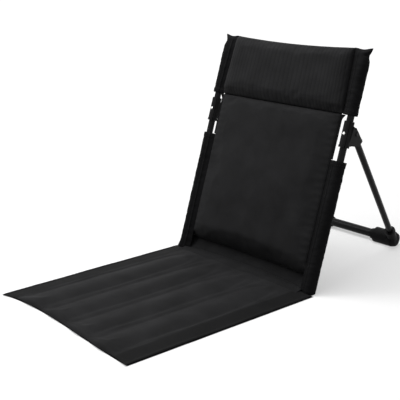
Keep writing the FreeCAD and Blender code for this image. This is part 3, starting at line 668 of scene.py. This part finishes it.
class CHAIR_OT_back_panel(Operator):
    """Make the padded back panel, whose lower end rolls under"""

    bl_idname = "chair.back_panel"
    bl_label = "Back panel"

    def execute(self, context):
        size = sizes()

        def spot(u, v):
            rise = PANEL_LOW + eased(v) * (PANEL_TOP - PANEL_LOW)
            return (u - 0.5) * 2 * panel_half(rise), rise

        def front(u, v):
            x, rise = spot(eased(u), v)
            ends = swell((PANEL_TOP - rise) / 0.009) * swell((rise - PANEL_LOW) / 0.012)
            half = panel_half(rise)
            out = size.back_crest * side_swell(x, 0.060, half) * ends
            uneven = 0.0011 * ripple(x, rise, 3.0, 0.09) + 0.0005 * ripple(x, rise, 7.0, 0.035)
            beside = smooth(1 - (half - abs(x)) / 0.035)
            pucker = 0.0007 * math.sin(rise * 380 + 2 * ripple(x, rise, 1.0, 0.05)) * beside
            relief = (uneven + pucker) * side_swell(x, 0.012, half) * ends
            return back_point(x, panel_middle(x, rise) - out - relief, rise)

        def rear(u, v):
            x, rise = spot(eased(u), v)
            ends = swell((PANEL_TOP - rise) / 0.009) * swell((rise - PANEL_LOW) / 0.009)
            out = LINING_SWELL * side_swell(x, 0.02, panel_half(rise)) * ends
            return back_point(x, panel_middle(x, rise) + out, rise)

        flat = (2 * SEAM_X, HEADREST_SEAM - PANEL_LOW)
        panel = sewn_pad("back_panel", 84, 84, front, rear, flat, rim_hold)
        puff(panel, PAD_PRESSURE, PAD_TRAVEL, PAD_SLACK)
        finish_cloth(panel, "back", panel_cloth())
        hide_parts("back_front_cloth", "back_foam")
        return {"FINISHED"}


class CHAIR_OT_headrest(Operator):
    """Make the thicker ribbed headrest above the panel"""

    bl_idname = "chair.headrest"
    bl_label = "Headrest"

    def execute(self, context):
        size = sizes()
        low = HEADREST_LOW

        def spot(u, v):
            x = (u - 0.5) * 2 * SEAM_X
            rise = low + eased(v) * (top_edge(x) - low)
            return x * head_half(rise) / SEAM_X, rise

        def ends(x, rise):
            lower = 1 - max(0.0, 1 - (rise - low) / 0.019) ** 1.3
            return lower * swell((top_edge(x) - rise) / 0.022)

        def front(u, v):
            x, rise = spot(eased(u), v)
            full = ends(x, rise) * side_swell(x, 0.026, head_half(rise))
            uneven = 0.0007 * ripple(x, rise, 11.0, 0.06) + 0.0003 * ripple(x, rise, 13.0, 0.02)
            return back_point(x, PANEL_MIDDLE - size.headrest_crest * full - uneven * full, rise)

        def rear(u, v):
            x, rise = spot(eased(u), v)
            out = LINING_SWELL * ends(x, rise) * side_swell(x, 0.02, head_half(rise))
            return back_point(x, PANEL_MIDDLE + out, rise)

        flat = (2 * SEAM_X, BACK_TOP - low)
        pad = sewn_pad("headrest_pad", 90, 44, front, rear, flat, rim_hold)
        puff(pad, PAD_PRESSURE, PAD_TRAVEL, PAD_SLACK)
        ribbed = cloth_material("woven_ribs", colours().panel, CLOTH_SHEEN, CLOTH_SHINE,
                                rib_pitch=0.0104)
        finish_cloth(pad, "back", ribbed)
        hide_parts("headrest_cloth", "headrest_foam")
        return {"FINISHED"}


class CHAIR_OT_rear_cloth(Operator):
    """Make the cloth behind the back and the headrest"""

    bl_idname = "chair.rear_cloth"
    bl_label = "Rear cloth"

    def execute(self, context):
        def place(u, v):
            x = (0.5 - u) * 2 * SEAM_X
            rise = PANEL_LOW + v * (top_edge(x) - PANEL_LOW)
            half = panel_half(rise) if rise < HEADREST_SEAM else min(SEAM_X, head_half(rise))
            x *= half / SEAM_X
            slack = 0.0026 * side_swell(x, 0.02, half) + 0.0010
            uneven = 0.0005 * ripple(x, rise, 21.0, 0.07) * side_swell(x, 0.04, half)
            return back_point(x, panel_middle(x, rise) + slack + sizes().cloth + uneven, rise)

        flat = (2 * SEAM_X, BACK_TOP - PANEL_LOW)
        cloth = new_grid("rear_cloth", 60, 80, place, flat)
        finish_cloth(cloth, "back", panel_cloth(), wall=sizes().cloth)
        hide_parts("back_rear_cloth")
        return {"FINISHED"}


class SleeveLoop:
    """Loop of a sleeve round its upright, closed at the seam beside the panel."""

    def __init__(self, half):
        self.tip = (half - SEAM_LAP, SEAM_SET_BACK)
        across = self.tip[0] - SLEEVE_CENTRE[0]
        behind = self.tip[1] - SLEEVE_CENTRE[1]
        far = math.hypot(across, behind)
        self.toward = math.atan2(behind, across)
        self.reach = math.acos(SLEEVE_RADIUS / far)
        self.web = math.sqrt(far * far - SLEEVE_RADIUS ** 2)
        self.arc = SLEEVE_RADIUS * 2 * (math.pi - self.reach)
        self.length = 2 * self.web + self.arc

    def spot(self, share, out=0.0):
        """Point at a share of the loop, moved outward, as distance across and set-back."""
        along = share * self.length
        turn = clamp((along - self.web) / self.arc)
        angle = self.toward + self.reach + 2 * (math.pi - self.reach) * turn
        normal = (math.cos(angle), math.sin(angle))
        on_round = [c + n * SLEEVE_RADIUS for c, n in zip(SLEEVE_CENTRE, normal)]
        left = max(0.0, self.web - along, along - self.web - self.arc) / self.web
        return [r + (t - r) * left + n * out for r, t, n in zip(on_round, self.tip, normal)]


class CHAIR_OT_sleeves(Operator):
    """Make the cloth sleeves round the uprights: two above the brackets and two below"""

    bl_idname = "chair.sleeves"
    bl_label = "Sleeves"

    def surface(self, loop, share, rise, hem_gap, seed):
        """Height of creases, hem and welt over the plain loop."""
        size = sizes()
        along = share * loop.length
        free = smooth(min(share, 1 - share) / 0.08)
        creases = 0.0009 * ripple(along, rise * 2.2, seed, 0.022)
        creases += 0.0005 * ripple(along * 0.6, rise * 3.0, seed + 5, 0.010)
        hem = 0.0006 * (1 - smooth((hem_gap - 0.011) / 0.0015))
        welt = size.welt * math.exp(-((along - WELT_AT) / 0.0015) ** 2)
        return creases * free + hem * free + welt

    def dress(self, sleeve, word, kind, flat):
        close_up(sleeve)
        finish_cloth(sleeve, "back", sleeve_cloth(), wall=sizes().cloth)
        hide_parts(word + kind)

    def lower(self, word, side):
        loop = SleeveLoop(SEAM_X)
        floor_share = 0.05

        def place(u, v):
            plain = loop.spot(u)
            ground = (GROUND_GAP + plain[1] * SIN) / COS
            if v < floor_share:
                inward = v / floor_share
                spot = [c + (p - c) * inward for c, p in zip(SLEEVE_CENTRE, plain)]
                flare = FLARE[word] * smooth((spot[0] - SEAM_X) / 0.03) * inward
                return back_point(side * (spot[0] + flare), spot[1], (GROUND_GAP + spot[1] * SIN) / COS)
            share = (v - floor_share) / (1 - floor_share)
            rise = ground + share * (LOWER_SLEEVE_TOP - ground)
            out = self.surface(loop, u, rise, LOWER_SLEEVE_TOP - rise, 31.0 + side)
            spot = loop.spot(u, out * smooth(share / 0.03))
            outer = smooth((spot[0] - SEAM_X) / 0.03)
            flare = FLARE[word] * max(0.0, 1 - rise / 0.032) ** 2 * outer
            return back_point(side * (spot[0] + flare), spot[1], rise)

        flat = (loop.length, LOWER_SLEEVE_TOP)
        sleeve = new_grid(word + "_lower_sleeve_cloth", 48, 120, place, flat)
        self.dress(sleeve, word, "_lower_sleeve", (loop.length, LOWER_SLEEVE_TOP + 0.02))

    def upper(self, word, side):
        whole = SleeveLoop(head_half(HEADREST_SEAM))

        def crown(share):
            """Closed top seam, from the panel's corner to the pointed outer corner."""
            part = 1 - abs(2 * share - 1)
            apart = 0.0004 if share < 0.5 else -0.0004
            rise = BACK_TOP + (HORN_CORNER[2] - BACK_TOP) * part - 0.0030 * math.sin(math.pi * part) ** 2
            inner = head_half(BACK_TOP) - SEAM_LAP
            across = inner + (HORN_CORNER[0] - inner) * part
            return across, SEAM_SET_BACK * (1 - part) + HORN_CORNER[1] * part - apart, rise

        def place(u, v):
            across, behind, top = crown(u)
            rise = HEADREST_SEAM + eased(v, 0.3) * (top - HEADREST_SEAM)
            loop = SleeveLoop(head_half(rise))
            out = self.surface(loop, u, rise, rise - HEADREST_SEAM, 41.0 + side)
            drawn = smooth((rise - HORN_START) / (top - HORN_START)) ** 1.5
            pinch = 0.0045 * math.exp(-((rise - HORN_START) / 0.010) ** 2) * math.sin(math.pi * u) ** 2
            spot = loop.spot(u, (out - pinch) * (1 - drawn))
            across = spot[0] + (across - spot[0]) * drawn
            return back_point(side * across, spot[1] + (behind - spot[1]) * drawn, rise)

        flat = (whole.length, BACK_TOP - HEADREST_SEAM)
        sleeve = new_grid(word + "_upper_sleeve_cloth", 48, 72, place, flat)
        self.dress(sleeve, word, "_upper_sleeve", flat)

    def execute(self, context):
        for word, side in SIDES.items():
            self.lower(word, side)
            self.upper(word, side)
        return {"FINISHED"}


class CHAIR_OT_window_bindings(Operator):
    """Make the tape that binds the panel's free edge between the sleeves"""

    bl_idname = "chair.window_bindings"
    bl_label = "Window bindings"

    def execute(self, context):
        low = LOWER_SLEEVE_TOP + 0.0008
        high = HEADREST_SEAM - 0.0008
        width = 0.0062
        half = 0.0011

        for word, side in SIDES.items():
            def place(u, v):
                rise = low + v * (high - low)
                turn = (u - 0.5) * math.pi
                fold = smooth(1 - abs(2 * u - 1))
                across = SEAM_X - SEAM_LAP + width * min(1.0, (1 - abs(2 * u - 1)) * 1.4)
                behind = SEAM_SET_BACK + half * math.sin(turn) * (1 + 0.2 * fold)
                bend = 0.0070 * smooth((rise - high + 0.016) / 0.016) ** 2 * fold
                wave = 0.0003 * ripple(rise, 0.0, 51.0 + side, 0.02)
                return back_point(side * (across + bend + wave), behind + wave, rise)

            tape = new_grid(word + "_window_tape", 14, 60, place, (2 * width, high - low))
            finish_cloth(tape, "back", sleeve_cloth(), wall=0.0005)
            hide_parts(word + "_window_binding")
        return {"FINISHED"}


class CHAIR_OT_crease(Operator):
    """Make the plain strip that joins the back's lower end to the seat; its darker colour is painted
    shade of the crease
    """

    bl_idname = "chair.crease"
    bl_label = "Crease strip"

    def execute(self, context):
        def path(x):
            """Section of the strip: down from the panel, a sewn fold, then over the seat's rear edge."""
            across = max(0.0, 1 - (x / SEAM_X) ** 2) ** 0.5
            wide = x * panel_half(PANEL_LOW) / STRIP_HALF
            start = back_point(wide, panel_middle(wide, PANEL_LOW) + 0.0008, PANEL_LOW + 0.002)
            seam = 0.004 - 0.020 * across
            return [
                start,
                start.lerp(seat_point(x, seam - 0.001, 0.0035), 0.55) + Vector((0, 0.0015, 0)),
                seat_point(x, seam - 0.001, 0.0034),
                seat_point(x, seam + 0.0005, 0.0062),
                seat_point(x, seam + 0.006, 0.0082),
                seat_point(x, max(0.012, seam + 0.012), seat_height(x, 0.014) + 0.0010),
                seat_point(x, 0.026, seat_height(x, 0.026) - 0.0008),
            ]

        def place(u, v):
            x = (u - 0.5) * 2 * STRIP_HALF
            points = path(x)
            at = v * (len(points) - 1)
            index = min(int(at), len(points) - 2)
            spot = points[index].lerp(points[index + 1], at - index)
            slack = 0.0006 * ripple(x, v * 0.06, 61.0, 0.03) * math.sin(math.pi * v)
            return spot + Vector((0, -slack * COS, slack))

        flat = (2 * STRIP_HALF, 0.076)
        strip = new_grid("crease_strip", 72, 36, place, flat)
        # The strip's cloth is the panel colour darkened to 0.80: painted shade of the crease between
        # back and seat
        plain = cloth_material("woven_strip", scaled(colours().panel, 0.80), 0.010, 0.042)
        finish_cloth(strip, None, plain, wall=sizes().cloth)
        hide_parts("crease_cloth")
        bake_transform(strip)
        return {"FINISHED"}


class CHAIR_OT_seat_pad(Operator):
    """Make the seat pad with its four sewn channels and flat side strips"""

    bl_idname = "chair.seat_pad"
    bl_label = "Seat pad"

    def execute(self, context):
        size = sizes()

        def spot(u, v):
            run = SEAT_REAR + eased(v, 0.3) * (SEAT_LENGTH - SEAT_REAR)
            x = (eased(u, 0.25) - 0.5) * 2 * seat_half(run)
            shifted = run + seat_notch(x) * (1 - v) ** 6
            wave = 0.0012 * math.cos(x / size.channel * 2 * math.pi)
            wave += 0.0020 * ripple(x, 0.0, 91.0, 0.07)
            front = wave * smooth((v - 0.8) / 0.2) + front_draw(x) * smooth((v - 0.5) / 0.5)
            return x, run, shifted - front - 0.0015 * smooth((v - 0.8) / 0.2)

        def top(u, v):
            x, run, at = spot(u, v)
            uneven = 0.0009 * ripple(x * 2.0, run, 71.0, 0.11)
            uneven += 0.0004 * ripple(x * 1.6, run, 73.0, 0.035)
            return seat_point(x, at, seat_height(x, run) + uneven * seat_rim(x, run, 0.016, 0.02, 0.006))

        def base(u, v):
            x, run, at = spot(u, v)
            return seat_point(x, at, SEAT_HEM - 0.0010 * seat_rim(x, run, 0.01, 0.01, 0.008))

        def hold(u, v):
            x, run, at = spot(u, v)
            seam = min(abs(abs(x) - place) for place in (0, size.channel, 2 * size.channel))
            if rim(u, v) < RIM or run < 0.035 or seam < 0.0026 or abs(x) > 2 * size.channel:
                return 1.0
            return 0.05

        flat = (2 * SEAT_HALF, SEAT_LENGTH - SEAT_REAR)
        pad = sewn_pad("seat_pad", 112, 104, top, base, flat, hold)
        puff(pad, PAD_PRESSURE, SEAT_TRAVEL, 0.0)
        channelled = cloth_material("woven_seat", colours().panel, CLOTH_SHEEN, 0.047,
                                    strip_from=2 * size.channel)
        finish_cloth(pad, "seat", channelled)
        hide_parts("seat_top_cloth", "seat_foam_outer_left", "seat_foam_inner_left",
                    "seat_foam_inner_right", "seat_foam_outer_right")
        return {"FINISHED"}


class CHAIR_OT_seat_base(Operator):
    """Make the cloth under the seat"""

    bl_idname = "chair.seat_base"
    bl_label = "Seat base"

    def execute(self, context):
        def place(u, v):
            run = SEAT_REAR + v * (SEAT_LENGTH - SEAT_REAR)
            x = (0.5 - u) * 2 * (seat_half(run) - 0.0005)
            drawn = (front_draw(x) + 0.004) * smooth((v - 0.5) / 0.5)
            height = 0.0001 + 0.0003 * (1 + ripple(x, run, 81.0, 0.04))
            return seat_point(x, run + seat_notch(x) * (1 - v) ** 6 - drawn, height)

        flat = (2 * SEAT_HALF, SEAT_LENGTH - SEAT_REAR)
        cloth = new_grid("seat_base", 80, 60, place, flat)
        finish_cloth(cloth, "seat", panel_cloth(), levels=0, wall=0.0006)
        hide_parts("seat_base_cloth")
        return {"FINISHED"}


class CHAIR_OT_stitching(Operator):
    """Sew the rows of stitches along seams, hems and welts"""

    bl_idname = "chair.stitching"
    bl_label = "Stitching"

    def stitch(self):
        """One stitch of thread, lying along Z."""
        size = sizes()
        bpy.ops.object.select_all(action="DESELECT")
        bpy.ops.mesh.primitive_uv_sphere_add(segments=6, ring_count=4, radius=size.stitch_radius)
        stitch = bpy.context.object
        stitch.name = "stitch"
        stretch = 0.38 * size.stitch_pitch / size.stitch_radius
        bpy.ops.transform.resize(value=(1, 1, stretch))
        bpy.ops.object.transform_apply(location=False, rotation=False, scale=True)
        bpy.ops.object.shade_smooth()
        return stitch

    def landed(self, cover, starts):
        """Points of the cover that the given points meet, going in their given directions."""
        hits = []
        for start, toward in starts:
            hit, spot, normal, index = cover.ray_cast(start, toward, distance=0.08)
            if hit:
                hits.append((spot, normal))
        return hits

    def sew(self, stitch, cover, starts):
        pieces = []
        hits = self.landed(cover, starts)
        for (spot, normal), (end, _) in zip(hits, hits[1:]):
            along = end - spot
            if along.length > 2 * sizes().stitch_pitch:
                continue
            centre = (spot + end) / 2 + normal * sizes().stitch_radius * 0.5
            turn = along.to_track_quat("Z", "Y").to_matrix().to_4x4()
            data = stitch.data.copy()
            data.transform(Matrix.Translation(centre) @ turn)
            pieces.append(add_object("stitch", data))
        return pieces

    def gather(self, name, pieces, body):
        """Join the stitches of a body into one piece."""
        select_only(*pieces)
        bpy.ops.object.join()
        sewn = bpy.context.object
        sewn.name = name
        sewn.data.name = name
        paint(sewn, thread())
        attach(sewn, body)

    def steps(self, first, last):
        count = int(abs(last - first) / sizes().stitch_pitch)
        return [first + (last - first) * step / count for step in range(count + 1)]

    def seat_rows(self, stitch):
        channel = sizes().channel
        down = Vector((0, 0, -1))
        rows = []
        runs = self.steps(0.032, SEAT_LENGTH - 0.012)
        for seam in (-2, -1, 0, 1, 2):
            rows.append([(seat_point(seam * channel, run, STITCH_OFF), down) for run in runs])
        for side in SIDES.values():
            rows.append([(seat_point(side * (seat_half(run) - 0.007), run, STITCH_OFF), down)
                         for run in runs])
        rows.append([(seat_point(x, SEAT_LENGTH - 0.011 - front_draw(x), STITCH_OFF), down)
                     for x in self.steps(-SEAT_HALF + 0.008, SEAT_HALF - 0.008)])
        cover = bpy.data.objects["seat_pad"]
        return [piece for row in rows for piece in self.sew(stitch, cover, row)]

    def back_rows(self, stitch):
        rearward = back_point(0, 1, 0) - back_point(0, 0, 0)
        edge = SEAM_X - 0.005
        panel_rows = [[(back_point(x, -STITCH_OFF, HEADREST_SEAM - 0.005), rearward)
                       for x in self.steps(-edge, edge)]]
        for side in SIDES.values():
            panel_rows.append([(back_point(side * edge, -STITCH_OFF, rise), rearward)
                               for rise in self.steps(0.055, HEADREST_SEAM - 0.005)])
        head_edge = head_half(BACK_TOP) - 0.006
        head_rows = [[(back_point(x, -STITCH_OFF, top_edge(x) - 0.006), rearward)
                      for x in self.steps(-head_edge, head_edge)]]
        pieces = []
        for name, rows in (("back_panel", panel_rows), ("headrest_pad", head_rows)):
            for row in rows:
                pieces += self.sew(stitch, bpy.data.objects[name], row)
        return pieces

    def sleeve_rows(self, stitch):
        pieces = []

        def start(side, share, rise):
            loop = SleeveLoop(SEAM_X if rise < HEADREST_SEAM else head_half(rise))
            near, far = loop.spot(share), loop.spot(share, 0.02)
            inside = back_point(side * near[0], near[1], rise)
            outside = back_point(side * far[0], far[1], rise)
            return outside, (inside - outside).normalized()

        length = SleeveLoop(SEAM_X).length
        round_shares = [along / length for along in self.steps(0.004, length - 0.004)]
        welt = WELT_AT / length
        for word, side in SIDES.items():
            lower = bpy.data.objects[word + "_lower_sleeve_cloth"]
            upper = bpy.data.objects[word + "_upper_sleeve_cloth"]
            for inset in (0.003, 0.009):
                low_hem = [start(side, share, LOWER_SLEEVE_TOP - inset) for share in round_shares]
                high_hem = [start(side, share, HEADREST_SEAM + inset) for share in round_shares]
                pieces += self.sew(stitch, lower, low_hem) + self.sew(stitch, upper, high_hem)
            low_welt = [start(side, welt, rise) for rise in self.steps(0.03, LOWER_SLEEVE_TOP - 0.002)]
            high_welt = [start(side, welt, rise)
                         for rise in self.steps(HEADREST_SEAM + 0.002, HORN_START)]
            pieces += self.sew(stitch, lower, low_welt) + self.sew(stitch, upper, high_welt)
        return pieces

    def execute(self, context):
        stitch = self.stitch()
        self.gather("seat_stitches", self.seat_rows(stitch), "seat")
        self.gather("back_stitches", self.back_rows(stitch) + self.sleeve_rows(stitch), "back")
        select_only(stitch)
        bpy.ops.object.delete()
        return {"FINISHED"}


class CHAIR_OT_stage(Operator):
    """Set up the floor, the soft studio light and the camera"""

    bl_idname = "chair.stage"
    bl_label = "Stage"

    def floor(self):
        bpy.ops.object.select_all(action="DESELECT")
        bpy.ops.mesh.primitive_plane_add(size=30, location=(0, 0, -0.0005))
        floor = bpy.context.object
        floor.name = "floor"
        material, tree, shader = new_material("pale_floor")
        feed(shader, {"Base Color": (0.5, 0.5, 0.5, 1), "Roughness": 0.9, "Specular IOR Level": 0.1})
        where = node(tree, "TexCoord").outputs["Object"]
        away = node(tree, "VectorMath", {0: where}, operation="LENGTH").outputs["Value"]
        level = map_range(tree, away, {"From Min": 0.6, "From Max": 2.6, "To Min": 0.42, "To Max": 0.88})
        glow = node(tree, "Emission", {"Strength": math_node(tree, "MULTIPLY", seen_rays(tree), level)})
        both = node(tree, "AddShader", {0: shader.outputs[0], 1: glow.outputs[0]})
        feed(tree.nodes["Material Output"], {"Surface": both.outputs[0]})
        floor.data.materials.append(material)

    def sky(self):
        world = bpy.data.worlds.new("studio")
        world.use_nodes = True
        bpy.context.scene.world = world
        tree = world.node_tree
        more = math_node(tree, "MULTIPLY", seen_rays(tree), 1 - SKY_LIGHT)
        level = math_node(tree, "ADD", more, SKY_LIGHT)
        feed(tree.nodes["Background"], {"Color": (1, 1, 1, 1), "Strength": level})

    def lamp(self, name, place, aim, size, power):
        data = bpy.data.lights.new(name, "AREA")
        data.energy = power
        data.shape = "SQUARE"
        data.size = size
        lamp = add_object(name, data)
        lamp.location = place
        lamp.rotation_euler = (Vector(aim) - Vector(place)).to_track_quat("-Z", "Y").to_euler()

    def camera(self):
        data = bpy.data.cameras.new("camera")
        data.lens = CAMERA_LENS
        data.sensor_width = 36
        camera = add_object("camera", data)
        camera.location = CAMERA_PLACE
        camera.rotation_euler = (math.radians(90 - CAMERA_TILT), 0, math.radians(CAMERA_TURN))
        bpy.context.scene.camera = camera

    def execute(self, context):
        self.floor()
        self.sky()
        for lamp in LAMPS:
            self.lamp(*lamp)
        self.camera()
        bpy.context.scene.view_settings.view_transform = "Standard"
        return {"FINISHED"}


class CHAIR_PT_panel(Panel):
    """Lists the steps that dress the chair."""

    bl_label = "Folding beach chair"
    bl_idname = "CHAIR_PT_panel"
    bl_space_type = "VIEW_3D"
    bl_region_type = "UI"
    bl_category = "Chair"

    def draw(self, context):
        for operator in OPERATORS:
            self.layout.operator(operator.bl_idname)
        for group in (context.scene.chair_sizes, context.scene.chair_colours):
            for name in group.bl_rna.properties.keys():
                if name not in ("rna_type", "name"):
                    self.layout.prop(group, name)


OPERATORS = (
    CHAIR_OT_frame_finish,
    CHAIR_OT_back_panel,
    CHAIR_OT_headrest,
    CHAIR_OT_rear_cloth,
    CHAIR_OT_sleeves,
    CHAIR_OT_window_bindings,
    CHAIR_OT_seat_pad,
    CHAIR_OT_seat_base,
    CHAIR_OT_crease,
    CHAIR_OT_stitching,
    CHAIR_OT_stage,
)
CLASSES = (ChairSizes, ChairColours, *OPERATORS, CHAIR_PT_panel)


def register():
    for item in CLASSES:
        bpy.utils.register_class(item)
    bpy.types.Scene.chair_sizes = PointerProperty(type=ChairSizes)
    bpy.types.Scene.chair_colours = PointerProperty(type=ChairColours)


def unregister():
    del bpy.types.Scene.chair_colours
    del bpy.types.Scene.chair_sizes
    for item in reversed(CLASSES):
        bpy.utils.unregister_class(item)


def main():
    register()
    bpy.ops.chair.frame_finish()
    bpy.ops.chair.back_panel()
    bpy.ops.chair.headrest()
    bpy.ops.chair.rear_cloth()
    bpy.ops.chair.sleeves()
    bpy.ops.chair.window_bindings()
    bpy.ops.chair.seat_pad()
    bpy.ops.chair.seat_base()
    bpy.ops.chair.crease()
    bpy.ops.chair.stitching()
    bpy.ops.chair.stage()


if __name__ == "__main__":
    main()
